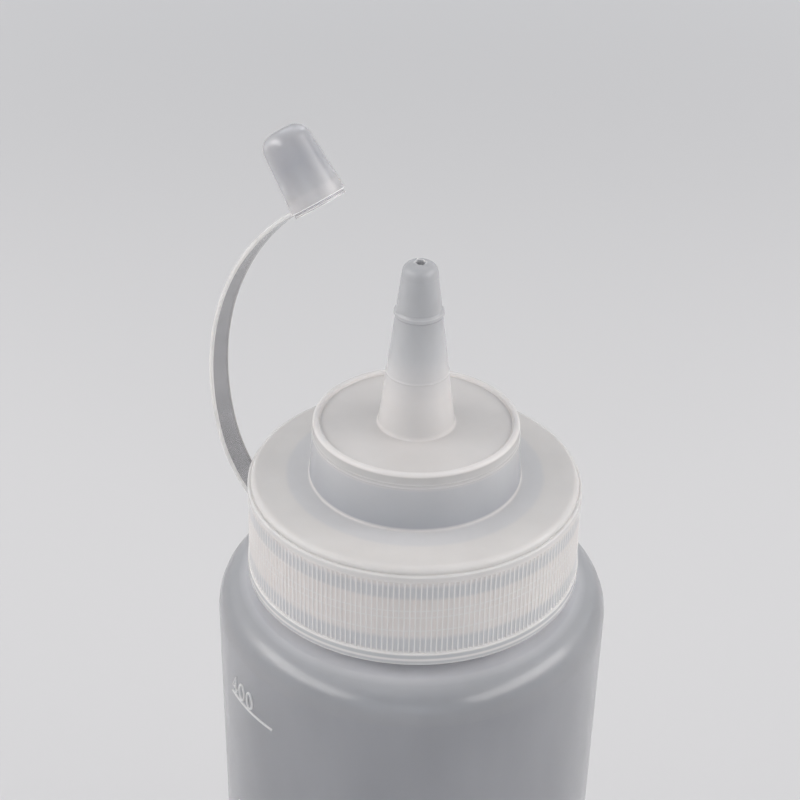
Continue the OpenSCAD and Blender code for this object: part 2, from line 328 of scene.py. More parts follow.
def placed(name, mesh, material, sharp=HARD_EDGE):
    """Object made from a bmesh, with hard edges kept, flat faces shaded flat, and bends and heights noted."""
    bmesh.ops.recalc_face_normals(mesh, faces=mesh.faces)
    note = mesh.verts.layers.float.new("bend")
    rise = mesh.verts.layers.float.new("rise")
    bends = {edge: bend_at(edge) for edge in mesh.edges}
    for vert in mesh.verts:
        most = max((bends[edge] for edge in vert.link_edges), key=abs, default=0.0)
        vert[note] = min(max(most, -MOST_BENT), MOST_BENT)
        vert[rise] = vert.co.z
    for face in mesh.faces:
        face.smooth = True
    for edge in mesh.edges:
        edge.smooth = edge.is_manifold and edge.calc_face_angle(0.0) < sharp
    data = bpy.data.meshes.new(name)
    mesh.to_mesh(data)
    mesh.free()
    data.materials.append(material)
    made = bpy.data.objects.new(name, data)
    bpy.context.scene.collection.objects.link(made)
    weighted = made.modifiers.new("flat_faces", "WEIGHTED_NORMAL")
    weighted.keep_sharp = True
    weighted.weight = 80
    return made


# Materials: what all the plastics share, with lengths in millimetres
GRAIN = 0.9
CLOUD_SHADE, CLOUD_PLAIN = 0.32, 0.68
ROUGH_SPREAD = 0.05
RIPPLE_STRENGTH, RIPPLE_DEPTH = 0.35, 0.02
GRIT_STRENGTH, GRIT_DEPTH = 0.25, 0.012
COIL_OFF = 0.17
COIL_FADE = (0.045, 0.02)
COIL_END = 0.4
COAT_ROUGHNESS = 0.16
PLASTIC_IOR = 1.5
PLASTIC_SPECULAR = 0.4
MILK = 0.7
MILK_RADIUS = (1.0, 0.96, 0.92)
MILK_DEPTH = 1.5


def plastic(name, colour, shade, light, see_through, roughness, edges=(0.7, 2.6), tones=(),
            edge_clear=None, coil=None, neck=None, coat=0.0, waves=7.0, stretch=1.0):
    """Milky polyethylene: cloudy, lighter along its edges, partly milkier there and partly a painted
    highlight, satin, with walls that let soft light through.

    tones are colours that multiply the plastic's own, as (axis, low, high, stops), with axis "up" or "out".
    edge_clear is how far the edges let light through, where they are milkier than the rest.
    coil is a pair of thin painted glow lines, for the light that the thread behind the wall scatters, that
    climb as the thread does, as (start, low, high).
    neck is how far the plastic lets light through high up, where it is milkier, as (low, high, see_through).
    waves is the size of the clouds, and stretch is how much longer they are upwards.
    """
    material = bpy.data.materials.new(name)
    material.use_nodes = True
    nodes, links = material.node_tree.nodes, material.node_tree.links
    shader = nodes["Principled BSDF"]
    place = nodes.new("ShaderNodeTexCoord")

    def noise(scale, detail, source):
        made = nodes.new("ShaderNodeTexNoise")
        made.inputs["Scale"].default_value = scale
        made.inputs["Detail"].default_value = detail
        links.new(source, made.inputs["Vector"])
        return made.outputs["Fac"]

    def spread(value, low, high, to_low=0.0, to_high=1.0):
        made = nodes.new("ShaderNodeMapRange")
        ends = {"From Min": low, "From Max": high, "To Min": to_low, "To Max": to_high}
        for socket, number in ends.items():
            made.inputs[socket].default_value = number
        links.new(value, made.inputs["Value"])
        return made.outputs["Result"]

    def ramp(value, stops):
        made = nodes.new("ShaderNodeValToRGB")
        elements = made.color_ramp.elements
        while len(elements) < len(stops):
            elements.new(0.5)
        for element, (position, tint) in zip(elements, stops):
            element.position = position
            element.color = (*tint, 1)
        links.new(value, made.inputs["Fac"])
        return made.outputs["Color"]

    def mixed(kind, factor, a, b):
        made = nodes.new("ShaderNodeMix")
        made.data_type = "RGBA"
        made.blend_type = kind
        if isinstance(factor, float):
            made.inputs[0].default_value = factor
        else:
            links.new(factor, made.inputs[0])
        links.new(a, made.inputs[6])
        if isinstance(b, tuple):
            made.inputs[7].default_value = (*b, 1)
        else:
            links.new(b, made.inputs[7])
        return made.outputs[2]

    drawn = nodes.new("ShaderNodeMapping")
    drawn.inputs["Scale"].default_value = (1, 1, 1 / stretch)
    links.new(place.outputs["Object"], drawn.inputs["Vector"])
    cloud = noise(1 / (waves * MM), 3, drawn.outputs["Vector"])
    fine = noise(1 / (GRAIN * MM), 4, place.outputs["Object"])
    tint = ramp(cloud, ((CLOUD_SHADE, shade), (CLOUD_PLAIN, colour)))

    parts = nodes.new("ShaderNodeSeparateXYZ")
    links.new(place.outputs["Object"], parts.inputs["Vector"])
    flat = nodes.new("ShaderNodeCombineXYZ")
    links.new(parts.outputs["X"], flat.inputs["X"])
    links.new(parts.outputs["Y"], flat.inputs["Y"])
    out = nodes.new("ShaderNodeVectorMath")
    out.operation = "LENGTH"
    links.new(flat.outputs["Vector"], out.inputs[0])
    rise = nodes.new("ShaderNodeAttribute")
    rise.attribute_name = "rise"
    along = {"up": rise.outputs["Fac"], "out": out.outputs["Value"]}
    for axis, low, high, stops in tones:
        share = spread(along[axis], low * MM, high * MM)
        places = [((at - low) / (high - low), tone) for at, tone in stops]
        tint = mixed("MULTIPLY", 1.0, tint, ramp(share, places))

    def maths(kind, a, b=0.0):
        made = nodes.new("ShaderNodeMath")
        made.operation = kind
        for socket, value in zip(made.inputs, (a, b)):
            if isinstance(value, float):
                socket.default_value = value
            else:
                links.new(value, socket)
        return made.outputs["Value"]

    # Painted glow: thin lighter lines for the light scattered by the thread behind the wall
    if coil:
        start, low, high = (value * MM for value in coil)
        x, y, z = (parts.outputs[axis] for axis in "XYZ")
        turn = maths("DIVIDE", maths("ARCTAN2", y, x), TURN)
        climb = maths("DIVIDE", maths("SUBTRACT", z, start), THREAD_PITCH * MM)
        off = maths("PINGPONG", maths("SUBTRACT", climb, turn), 0.5)
        line = spread(maths("ABSOLUTE", maths("SUBTRACT", off, COIL_OFF)), *COIL_FADE)
        above = spread(z, low, low + COIL_END * MM)
        below = spread(z, high, high - COIL_END * MM)
        tint = mixed("MIX", maths("MULTIPLY", line, maths("MULTIPLY", above, below)), tint, light)

    # Painted highlight: the colour turns to the light colour along sharp bends, partly for milkier plastic
    # there
    bend = nodes.new("ShaderNodeAttribute")
    bend.attribute_name = "bend"
    rim = spread(bend.outputs["Fac"], *edges)
    links.new(mixed("MIX", rim, tint, light), shader.inputs["Base Color"])
    rough = spread(fine, 0, 1, roughness - ROUGH_SPREAD, roughness + ROUGH_SPREAD)
    links.new(rough, shader.inputs["Roughness"])

    ripple = nodes.new("ShaderNodeBump")
    ripple.inputs["Strength"].default_value = RIPPLE_STRENGTH
    ripple.inputs["Distance"].default_value = RIPPLE_DEPTH * MM
    links.new(cloud, ripple.inputs["Height"])
    grit = nodes.new("ShaderNodeBump")
    grit.inputs["Strength"].default_value = GRIT_STRENGTH
    grit.inputs["Distance"].default_value = GRIT_DEPTH * MM
    links.new(fine, grit.inputs["Height"])
    links.new(ripple.outputs["Normal"], grit.inputs["Normal"])
    links.new(grit.outputs["Normal"], shader.inputs["Normal"])

    shader.inputs["Transmission Weight"].default_value = see_through
    if edge_clear is not None:
        links.new(spread(rim, 0, 1, see_through, edge_clear), shader.inputs["Transmission Weight"])
    if neck:
        low, high, clear = neck
        milky = spread(along["up"], low * MM, high * MM, see_through, clear)
        links.new(milky, shader.inputs["Transmission Weight"])
    shader.inputs["Coat Weight"].default_value = coat
    shader.inputs["Coat Roughness"].default_value = COAT_ROUGHNESS
    shader.inputs["IOR"].default_value = PLASTIC_IOR
    shader.inputs["Specular IOR Level"].default_value = PLASTIC_SPECULAR
    shader.inputs["Subsurface Weight"].default_value = MILK
    shader.inputs["Subsurface Radius"].default_value = MILK_RADIUS
    shader.inputs["Subsurface Scale"].default_value = MILK_DEPTH * MM
    return material


# Tones: painted see-through shade, bluish, where the wall is clear, and painted glow, warm, where the plastic
# behind it scatters the light; also painted highlight lines and painted light in the lid's shadow
PLAIN = (1.0, 1.0, 1.0)
# Painted glow where the plastic behind scatters the light, and painted see-through shade, bluish, where the
# wall is clear, darker on the rim's clear band
PAINTED_GLOW = (1.15, 1.11, 1.095)
SEE_THROUGH_SHADE = (0.93, 0.95, 0.985)
RIM_SHADE = (0.78, 0.81, 0.84)
# Painted highlight lines along the lid's rim, round the turret's foot and bead, and on the cap's lip
EDGE_HIGHLIGHT = (1.15, 1.13, 1.12)
# Painted glow on the lid's top and the nozzle's foot, and a painted see-through shade ring round the turret's
# foot
TOP_GLOW = (1.06, 1.05, 1.04)
NOZZLE_GLOW = (1.06, 1.05, 1.05)
FOOT_SHADE = (0.93, 0.95, 0.98)
# Painted light that lifts the lid's shadow on the bottle's shoulder and neck
SHADOW_LIFT = (1.6, 1.58, 1.56)
NECK_LIFT = (1.35, 1.34, 1.33)
BODY_TOP = 140
LID_REACH = 60
# Painted light and shade up the lid: painted see-through shade on the rim band, the clear skirt bands, the
# turret's side and the nozzle's thin tip, painted glow over the thread, and painted shade on the turret's top
LID_RISE = (
    (0.0, EDGE_HIGHLIGHT), (0.2, EDGE_HIGHLIGHT), (0.4, RIM_SHADE), (0.75, RIM_SHADE),
    (0.95, EDGE_HIGHLIGHT), (1.2, EDGE_HIGHLIGHT), (1.4, RIM_SHADE), (1.95, RIM_SHADE),
    (2.1, EDGE_HIGHLIGHT), (2.4, EDGE_HIGHLIGHT), (2.8, SEE_THROUGH_SHADE), (4.9, SEE_THROUGH_SHADE),
    (5.8, PAINTED_GLOW), (12.9, PAINTED_GLOW), (13.5, SEE_THROUGH_SHADE), (15.3, SEE_THROUGH_SHADE), (16.1, PAINTED_GLOW), (17.0, PLAIN),
    (19.02, TOP_GLOW), (19.1, EDGE_HIGHLIGHT), (19.35, EDGE_HIGHLIGHT),
    (19.6, (0.69, 0.72, 0.77)), (26.5, (0.83, 0.85, 0.885)), (27.0, (0.94, 0.94, 0.95)),
    (29.2, (0.82, 0.82, 0.82)), (29.3, EDGE_HIGHLIGHT), (29.55, EDGE_HIGHLIGHT),
    (30.0, NOZZLE_GLOW), (36.0, NOZZLE_GLOW),
    (44.0, (0.82, 0.84, 0.87)), (51.0, (0.72, 0.74, 0.77)), (LID_REACH, (0.70, 0.72, 0.75)),
)
# Across the lid's top, a painted see-through shade ring from the turret's foot to the neck's lip
LID_TONES = (
    ("up", LID_Z, LID_Z + LID_REACH, tuple((LID_Z + h, tone) for h, tone in LID_RISE)),
    ("out", 0, 30, (
        (0, PLAIN), (18.3, PLAIN), (18.8, FOOT_SHADE), (22.0, FOOT_SHADE), (22.7, PLAIN), (30, PLAIN))),
)
# Up the bottle: painted shade on the shoulder's round, then painted light in the lid's shadow round the neck
BODY_TONES = (
    ("up", 0, BODY_TOP, (
        (0, PLAIN), (124.5, PLAIN), (126.3, (0.92, 0.93, 0.94)), (127.5, (0.85, 0.86, 0.87)),
        (128.2, (0.80, 0.81, 0.82)), (128.66, (0.83, 0.84, 0.85)), (128.93, (1.05, 1.05, 1.05)),
        (129.05, NECK_LIFT), (129.3, SHADOW_LIFT), (130.0, SHADOW_LIFT),
        (130.8, NECK_LIFT), (BODY_TOP, NECK_LIFT))),
)
# Up the cap: a painted highlight line at its lip, a painted glow above it, and painted see-through shade
# along its middle
CAP_TONES = (
    ("up", 0, 15, (
        (0, EDGE_HIGHLIGHT), (0.35, EDGE_HIGHLIGHT), (0.6, (0.93, 0.93, 0.94)), (0.9, (1.1, 1.09, 1.08)),
        (2.8, (1.08, 1.07, 1.06)), (3.3, PLAIN), (8, (0.9, 0.91, 0.93)), (12, (0.95, 0.95, 0.96)),
        (15, PLAIN))),
)

# Plastics: plain colour, shade and colour of the painted edge highlights, how far light goes through, and
# roughness
# The bottle's edges start low, so its shoulder's round takes a painted highlight
BOTTLE_PLASTIC = plastic(
    "bottle_plastic", (0.59, 0.60, 0.63), (0.52, 0.53, 0.56), (0.68, 0.675, 0.67), 0.7, 0.31,
    edges=(0.08, 0.5), tones=BODY_TONES, neck=(127, 128.8, 0.3), coat=0.6, waves=13.0, stretch=2.5)
# The marks' plastic is lighter than the bottle's: partly the thick strokes' milkier plastic, partly a painted
# highlight
MARK_PLASTIC = plastic(
    "mark_plastic", (0.80, 0.80, 0.81), (0.75, 0.75, 0.76), (0.90, 0.90, 0.90), 0.3, 0.3)
LID_PLASTIC = plastic(
    "lid_plastic", (0.77, 0.76, 0.755), (0.74, 0.73, 0.725), (0.90, 0.89, 0.88), 0.3, 0.22,
    edges=(2.3, 5.0), tones=LID_TONES, coil=(LID_Z + NECK_THREAD_Z, LID_Z + 6.2, LID_Z + 13.2))
CAP_PLASTIC = plastic(
    "cap_plastic", (0.75, 0.75, 0.765), (0.69, 0.69, 0.705), (0.95, 0.94, 0.93), 0.72, 0.17,
    tones=CAP_TONES, edge_clear=0.2, coat=0.5)
STRAP_PLASTIC = plastic(
    "strap_plastic", (0.48, 0.48, 0.49), (0.42, 0.42, 0.43), (0.80, 0.79, 0.78), 0.85, 0.14,
    edges=(0.2, 0.8), edge_clear=0.3, waves=5.0)


FOAM_CELL = 0.45
FOAM_PIT_STRENGTH, FOAM_PIT_DEPTH = 0.4, 0.05
FOAM_WHITE, FOAM_SHADE = (0.86, 0.86, 0.84), (0.78, 0.78, 0.76)
FOAM_ROUGHNESS = 0.85


def foam():
    """Matt white foam of the sealing ring, with its fine cells."""
    material = bpy.data.materials.new("seal_foam")
    material.use_nodes = True
    nodes, links = material.node_tree.nodes, material.node_tree.links
    shader = nodes["Principled BSDF"]
    place = nodes.new("ShaderNodeTexCoord")
    cells = nodes.new("ShaderNodeTexVoronoi")
    cells.inputs["Scale"].default_value = 1 / (FOAM_CELL * MM)
    links.new(place.outputs["Object"], cells.inputs["Vector"])
    tint = nodes.new("ShaderNodeValToRGB")
    tint.color_ramp.elements[0].color = (*FOAM_WHITE, 1)
    tint.color_ramp.elements[1].color = (*FOAM_SHADE, 1)
    links.new(cells.outputs["Distance"], tint.inputs["Fac"])
    links.new(tint.outputs["Color"], shader.inputs["Base Color"])
    pits = nodes.new("ShaderNodeBump")
    pits.inputs["Strength"].default_value = FOAM_PIT_STRENGTH
    pits.inputs["Distance"].default_value = FOAM_PIT_DEPTH * MM
    links.new(cells.outputs["Distance"], pits.inputs["Height"])
    links.new(pits.outputs["Normal"], shader.inputs["Normal"])
    shader.inputs["Roughness"].default_value = FOAM_ROUGHNESS
    return material


# Bottle
def shoulder_z(r, wall):
    """Height of the shoulder's slope at a radius, moved inwards by a wall."""
    lean = math.atan(SHOULDER_SLOPE)
    slope_r = BODY_R - SHOULDER_R + SHOULDER_R * math.sin(lean)
    slope_z = BODY_H + SHOULDER_R * math.cos(lean)
    return slope_z + (slope_r - r) * SHOULDER_SLOPE - wall / math.cos(lean)


def make_bottle():
    pushup_r = BODY_R - HEEL_R - FOOT_W
    inner_r = BODY_R - BODY_WALL
    neck_in = NECK_R - NECK_WALL
    rise = PUSHUP_H + BASE_T
    path = [
        (0, PUSHUP_H, 0),
        (pushup_r - PUSHUP_H, PUSHUP_H, 4),
        (pushup_r, 0, 1.2),
        (BODY_R, 0, HEEL_R),
        (BODY_R, shoulder_z(BODY_R, 0), SHOULDER_R),
        (NECK_R, shoulder_z(NECK_R, 0), 1.0),
        (NECK_R, LIP_Z, 0.5),
        (MOUTH_R, LIP_Z, 0.4),
        (MOUTH_R, LIP_Z - LIP_H, 0.4),
        (neck_in, LIP_Z - LIP_H, 0.4),
        (neck_in, shoulder_z(neck_in, BODY_WALL), 1.5),
        (inner_r, shoulder_z(inner_r, BODY_WALL), SHOULDER_R - BODY_WALL),
        (inner_r, BASE_T, HEEL_R - BODY_WALL),
        (pushup_r + BASE_T + PUSHUP_H, BASE_T, 1.0),
        (pushup_r + BASE_T, rise, 2.0),
        (0, rise, 0),
    ]

    def on_neck(p):
        return abs(p.x - NECK_R) < NEAR

    def ridge(angle, z):
        return THREAD_H * thread(angle, z, LID_Z + NECK_THREAD_Z, NECK_THREAD_TURNS)

    outline = divided(rounded(path), LID_Z, LIP_Z, THREAD_STEP, on_neck)
    mesh = bmesh.new()
    rings = [ring(mesh, p.x, p.y, ROUND_STEPS, ridge if on_neck(p) else None) for p in outline]
    for a, b in zip(rings, rings[1:]):
        skin(mesh, a, b)
    made = placed("bottle_shell", mesh, BOTTLE_PLASTIC)
    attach(made, "bottle")
    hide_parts("bottle")


# Volume marks: plain numbers and lines that stand out of the bottle's side
MARK_HEIGHTS = {"400": 113.3, "300": 83.2, "200": 55.4, "100": 27.6}
MARK_TURN = math.radians(238.1)
MARK_LINE = 13.0
MARK_LINE_STEPS = 16
DIGIT_INSET = 0.4
DIGIT_H = 3.4
DIGIT_W = 1.85
DIGIT_GAP = 0.8
DIGIT_LIFT = 0.65
STROKE_W = 0.46
STROKE_H = 0.3
STROKE_SINK = 0.15
STROKE_STEPS = 6
MITRE_MOST = 1.6
MITRE_LEAST_TURN = 0.3


def arc(x, y, rx, ry, first, last, pieces=14):
    """Points on part of an ellipse, from one angle in degrees to another."""
    turns = [math.radians(lerp(first, last, k / pieces)) for k in range(pieces + 1)]
    return [(x + rx * math.cos(t), y + ry * math.sin(t)) for t in turns]


DIGITS = {
    "0": arc(0.5, 0.5, 0.46, 0.5, 90, 450, 24),
    "1": [(0.2, 0.78), (0.58, 1.0), (0.58, 0.0)],
    "2": arc(0.5, 0.71, 0.44, 0.29, 170, -40) + [(0.04, 0.0), (0.98, 0.0)],
    "3": arc(0.46, 0.745, 0.42, 0.255, 150, -85) + arc(0.46, 0.25, 0.48, 0.25, 85, -150),
    "4": [(0.72, 0.0), (0.72, 1.0), (0.02, 0.3), (1.0, 0.3)],
}


def stroke(mesh, points, closed=False):
    """A low round-topped ridge along points (across, up) on the bottle's side."""
    count = len(points)
    points = [Vector(p) for p in points]
    rows = []
    for i, p in enumerate(points):
        back = points[i - 1] if closed or i else p
        ahead = points[(i + 1) % count] if closed or i < count - 1 else p
        before = (p - back).normalized() if back != p else (ahead - p).normalized()
        after = (ahead - p).normalized() if ahead != p else before
        along = (before + after).normalized()
        mitre = min(MITRE_MOST, 1 / max(MITRE_LEAST_TURN, along.dot(after)))
        side = Vector((-along.y, along.x)) * mitre
        turns = [math.pi * k / STROKE_STEPS for k in range(STROKE_STEPS + 1)]
        section = [(0.5 * STROKE_W * math.cos(t), STROKE_H * math.sin(t)) for t in turns]
        section += [(-0.5 * STROKE_W, -STROKE_SINK), (0.5 * STROKE_W, -STROKE_SINK)]
        row = []
        for across, out in section:
            q = p + side * across
            row.append(vert_at(mesh, BODY_R + out, MARK_TURN + q.x / BODY_R, q.y))
        rows.append(row)
    for a, b in zip(rows, rows[1:] + rows[:1] if closed else rows[1:]):
        skin(mesh, a, b)
    if not closed:
        mesh.faces.new(rows[0])
        mesh.faces.new(rows[-1])


def make_marks():
    for number, height in MARK_HEIGHTS.items():
        mesh = bmesh.new()
        stroke(mesh, [(MARK_LINE * k / MARK_LINE_STEPS, height) for k in range(MARK_LINE_STEPS + 1)])
        for place, digit in enumerate(number):
            left, foot = DIGIT_INSET + place * (DIGIT_W + DIGIT_GAP), height + DIGIT_LIFT
            line = [(left + x * DIGIT_W, foot + y * DIGIT_H) for x, y in DIGITS[digit]]
            loop = digit == "0"
            stroke(mesh, line[:-1] if loop else line, loop)
        made = placed("volume_mark_" + number, mesh, MARK_PLASTIC)
        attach(made, "bottle")


# Lid with its turret and nozzle
def lid_side(h):
    return LID_R - RIM_OUT - h * LID_DRAFT


def nozzle_r(drop):
    return lerp(NOZZLE_TIP_R, NOZZLE_BASE_R, drop / (TIP_H - TURRET_H))


def turret_side(drop):
    return TURRET_R + drop * TURRET_DRAFT


def on_nozzle(drop, out, radius=0.0):
    return (nozzle_r(drop) + out, TIP_H - drop, radius)


def on_turret(drop, out, radius=0.0):
    return (turret_side(drop) + out, TURRET_H - drop, radius)


def lid_path():
    """Corners of the lid's section, from the outlet down the outside and back up the inside."""
    edge_h = LID_H - LID_EDGE_R
    edge_r = lid_side(edge_h) - EDGE_STEP
    bead_top = TURRET_H + BEAD_R
    wall_top = TURRET_H - TURRET_WALL
    foot_drop = TIP_H - wall_top
    inner_r = LID_R - LID_WALL
    ridges = []
    for above, crest, below in RIDGE_DROPS:
        ridges += [on_turret(above, 0), on_turret(crest, RIDGE_OUT, RIDGE_ROUND), on_turret(below, 0)]
    outside = [
        (OUTLET_R, TIP_H, 0.12),
        (OUTLET_R + 0.2, TIP_H, 0),
        (OUTLET_R + 0.42, TIP_H, 0),
        on_nozzle(0, 0, TIP_ROUND),
        on_nozzle(TIP_LINE_DROPS[0], 0),
        on_nozzle(TIP_LINE_DROPS[1], -TIP_LINE_IN),
        on_nozzle(TIP_LINE_DROPS[2], 0),
        on_nozzle(SNAP_DROP - SNAP_HALF_H, 0, 0.08),
        on_nozzle(SNAP_DROP - 0.4 * SNAP_HALF_H, SNAP_OUT, 0.35),
        on_nozzle(SNAP_DROP + 0.4 * SNAP_HALF_H, SNAP_OUT, 0.35),
        on_nozzle(SNAP_DROP + SNAP_HALF_H, 0, 0.08),
        on_nozzle(MARK_DROP - MARK_HALF_H, 0),
        on_nozzle(MARK_DROP, MARK_OUT, MARK_OUT / 2),
        on_nozzle(MARK_DROP + MARK_HALF_H, 0),
        (NOZZLE_BASE_R, TURRET_H, NOZZLE_FOOT_R),
        (TURRET_R - 2 * BEAD_R, TURRET_H, 0.25),
        (TURRET_R - 1.7 * BEAD_R, bead_top, 0.45),
        (TURRET_R, bead_top, 0.55),
        *ridges,
        (turret_side(TURRET_H - LID_H), LID_H, 0.35),
        (edge_r, LID_H, LID_EDGE_R),
        (edge_r, edge_h - 0.25, 0.06),
        (lid_side(edge_h), edge_h, 0.5),
        (lid_side(GRIP_TOP_H + GRIP_TOP_GAP), GRIP_TOP_H + GRIP_TOP_GAP, 0),
        (lid_side(RIM_H + GRIP_TOP_GAP), RIM_H + GRIP_TOP_GAP, 0),
        (lid_side(RIM_H), RIM_H, 0),
        (LID_R, RIM_H, 0.18),
        (LID_R, 0, 0.2),
    ]
    inside = [
        (inner_r, 0, 0.45),
        (inner_r - UNDER_H * LID_DRAFT, UNDER_H, 0.5),
        (turret_side(TURRET_H - UNDER_H) - TURRET_WALL, UNDER_H, 0.5),
        (turret_side(TURRET_WALL) - TURRET_WALL, wall_top, 1.0),
        (nozzle_r(foot_drop) - NOZZLE_WALL, wall_top, 0.6),
        (nozzle_r(OUTLET_LEN) - NOZZLE_WALL, TIP_H - OUTLET_LEN, 0.2),
        (OUTLET_R, TIP_H - OUTLET_LEN, 0.2),
    ]
    return outside + inside


def torn(angle):
    """Height of the rough lip that the trimmed outlet keeps."""
    return TORN_H * (0.5 + 0.3 * math.sin(3 * angle + 0.7) + 0.2 * math.sin(7 * angle + 2.1))


def rib_ring(mesh, h, depth):
    """Ring across the ribs, which stand out of a band of that depth."""
    feet = 0.5 - RIB_FOOT / 2, 0.5 + RIB_FOOT / 2
    crests = 0.5 - RIB_CREST / 2, 0.5 + RIB_CREST / 2
    high = RIB_INSET / GRIP_DEPTH
    marks = (0.0, 1.0), (feet[0], 1.0), (crests[0], high), (crests[1], high), (feet[1], 1.0)
    made = []
    for k in range(RIB_COUNT):
        for share, sunk in marks:
            angle = TURN * (k + share) / RIB_COUNT
            made.append(vert_at(mesh, lid_side(h) - sunk * depth, angle, LID_Z + h))
    return made


def make_lid():
    inner_r = LID_R - LID_WALL
    start = NECK_THREAD_Z + THREAD_PITCH / 2

    def on_wall(p):
        return abs(p.x - inner_r + p.y * LID_DRAFT) < NEAR

    def ridge(angle, z):
        return -THREAD_H * thread(angle, z - LID_Z, start, LID_THREAD_TURNS)

    outline = rounded(lid_path(), closed=True)
    outline = divided(outline + outline[:1], 1.0, UNDER_H - 1.0, THREAD_STEP, on_wall)[:-1]
    mesh = bmesh.new()
    rings = []
    for p in outline:
        outside = p.x > inner_r + 0.5
        if outside and RIM_H + GRIP_FOOT_GAP < p.y < GRIP_TOP_H:
            continue
        rings.append(ring(mesh, p.x, LID_Z + p.y, RIB_COUNT, ridge if on_wall(p) else None))
        above_grip = abs(p.y - GRIP_TOP_H - GRIP_TOP_GAP) < 1e-6
        if outside and above_grip:
            rings.append(rib_ring(mesh, GRIP_TOP_H, 0.0))
            rings.append(rib_ring(mesh, GRIP_TOP_H - RIB_FADE_H, GRIP_DEPTH))
            rings.append(rib_ring(mesh, RIM_H + RIB_FADE_H, GRIP_DEPTH))
            rings.append(rib_ring(mesh, RIM_H + GRIP_FOOT_GAP, 0.0))
    for a, b in zip(rings, rings[1:] + rings[:1]):
        skin(mesh, a, b)
    for vert in mesh.verts:
        near = math.hypot(vert.co.x, vert.co.y) / MM
        if vert.co.z > (LID_Z + TIP_H - TORN_H) * MM and near < OUTLET_R + TORN_REACH:
            crest = smooth(1 - abs(near - OUTLET_R - TORN_MID) / TORN_HALF_W)
            vert.co.z += torn(math.atan2(vert.co.y, vert.co.x)) * crest * MM
    made = placed("lid_shell", mesh, LID_PLASTIC, sharp=LID_HARD_EDGE)
    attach(made, "lid")
    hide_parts("lid")


# Tip cap, which leans on the end of the strap
def cap_frame():
    """Matrix from the tip cap's own frame, with its mouth at the origin and +Z to its closed end."""
    hinge = Vector(JOINTS["cap_tilt"]["pos_m"]) / MM
    turn = math.radians(sum(turn for radius, turn in STRAP_BENDS) + CAP_LEAN)
    heading = Vector((-math.cos(turn), 0, math.sin(turn)))
    axis = Vector((-math.sin(turn), 0, -math.cos(turn)))
    mouth = hinge + heading * (CAP_BODY_R + CAP_LEAD) - axis * CAP_STRAP_H
    across = Vector((0, 1, 0))
    turned = Matrix((heading, across, axis)).transposed()
    if turned.determinant() < 0:
        turned = Matrix((-heading, across, axis)).transposed()
    return Matrix.Translation(mouth * MM) @ turned.to_4x4()


def make_cap():
    depth = CAP_LEN - CAP_WALL

    def side(h):
        return CAP_BODY_R - (h - CAP_BODY_H) * CAP_DRAFT

    path = [
        (0, CAP_LEN, 0),
        (side(CAP_LEN), CAP_LEN, CAP_EDGE_R),
        (side(CAP_BODY_H), CAP_BODY_H, 0.2),
        (CAP_BODY_R - CAP_GROOVE, CAP_BODY_H - 0.15, 0.1),
        (CAP_BODY_R - CAP_GROOVE, CAP_LIP_H + 0.1, 0.08),
        (CAP_LIP_R, CAP_LIP_H, 0.08),
        (CAP_LIP_R, 0, 0.1),
        (CAP_MOUTH_R, 0, 0.15),
        (CAP_MOUTH_R, CAP_STEP_H, 0.1),
        (side(CAP_STEP_H) - CAP_WALL, CAP_STEP_H + 0.15, 0.1),
        (side(CAP_LEN) - CAP_WALL, depth, CAP_EDGE_R - CAP_WALL),
        (0, depth, 0),
    ]
    mesh = bmesh.new()
    rings = [ring(mesh, p.x, p.y, ROUND_STEPS) for p in rounded(path, step=CAP_CORNER_STEP)]
    for a, b in zip(rings, rings[1:]):
        skin(mesh, a, b)
    made = placed("tip_cap_shell", mesh, CAP_PLASTIC)
    made.data.transform(cap_frame())
    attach(made, "tip_cap")
    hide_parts("tip_cap")


# Strap
def strap_line():
    """Points (out, up), directions and lengths along the strap, from in the lid's rim to in the tip cap."""
    root = JOINTS["strap_swing"]["pos_m"]
    start = Vector((LID_R - STRAP_SEAT, root[2] / MM))
    lead = -root[0] / MM - start.x
    runs = [(None, lead)]
    runs += [(radius, radius * math.radians(turn)) for radius, turn in STRAP_BENDS]
    runs.append((None, CAP_LEAD + STRAP_END))
    p, heading, length, line = start, 0.0, 0.0, []
    for radius, run in runs:
        pieces = max(2, math.ceil(run / STRAP_STEP))
        for k in range(pieces):
            line.append((p.copy(), heading, length))
            step = run / pieces
            bend = step / radius if radius else 0.0
            chord = 2 * radius * math.sin(bend / 2) if radius else step
            middle = heading + bend / 2
            p = p + Vector((math.cos(middle), math.sin(middle))) * chord
            heading += bend
            length += step
    line.append((p.copy(), heading, length))
    return line


def strap_section():
    """Corners (across, thick) of the strap's rounded section."""
    w, t, r = STRAP_W / 2, STRAP_T / 2, STRAP_EDGE_R
    corners = ((w - r, t - r, 0), (r - w, t - r, 90), (r - w, r - t, 180), (w - r, r - t, 270))
    rounds = [[Vector(q) for q in arc(x, y, r, r, first, first + 90, 4)] for x, y, first in corners]
    return supported(rounds, closed=True)


def strap_point(p, heading, across, out):
    """Vertex in metres at a place of the strap's section."""
    lift = Vector((-math.sin(heading), math.cos(heading))) * out
    return Vector((-(p.x + lift.x), across, p.y + lift.y)) * MM


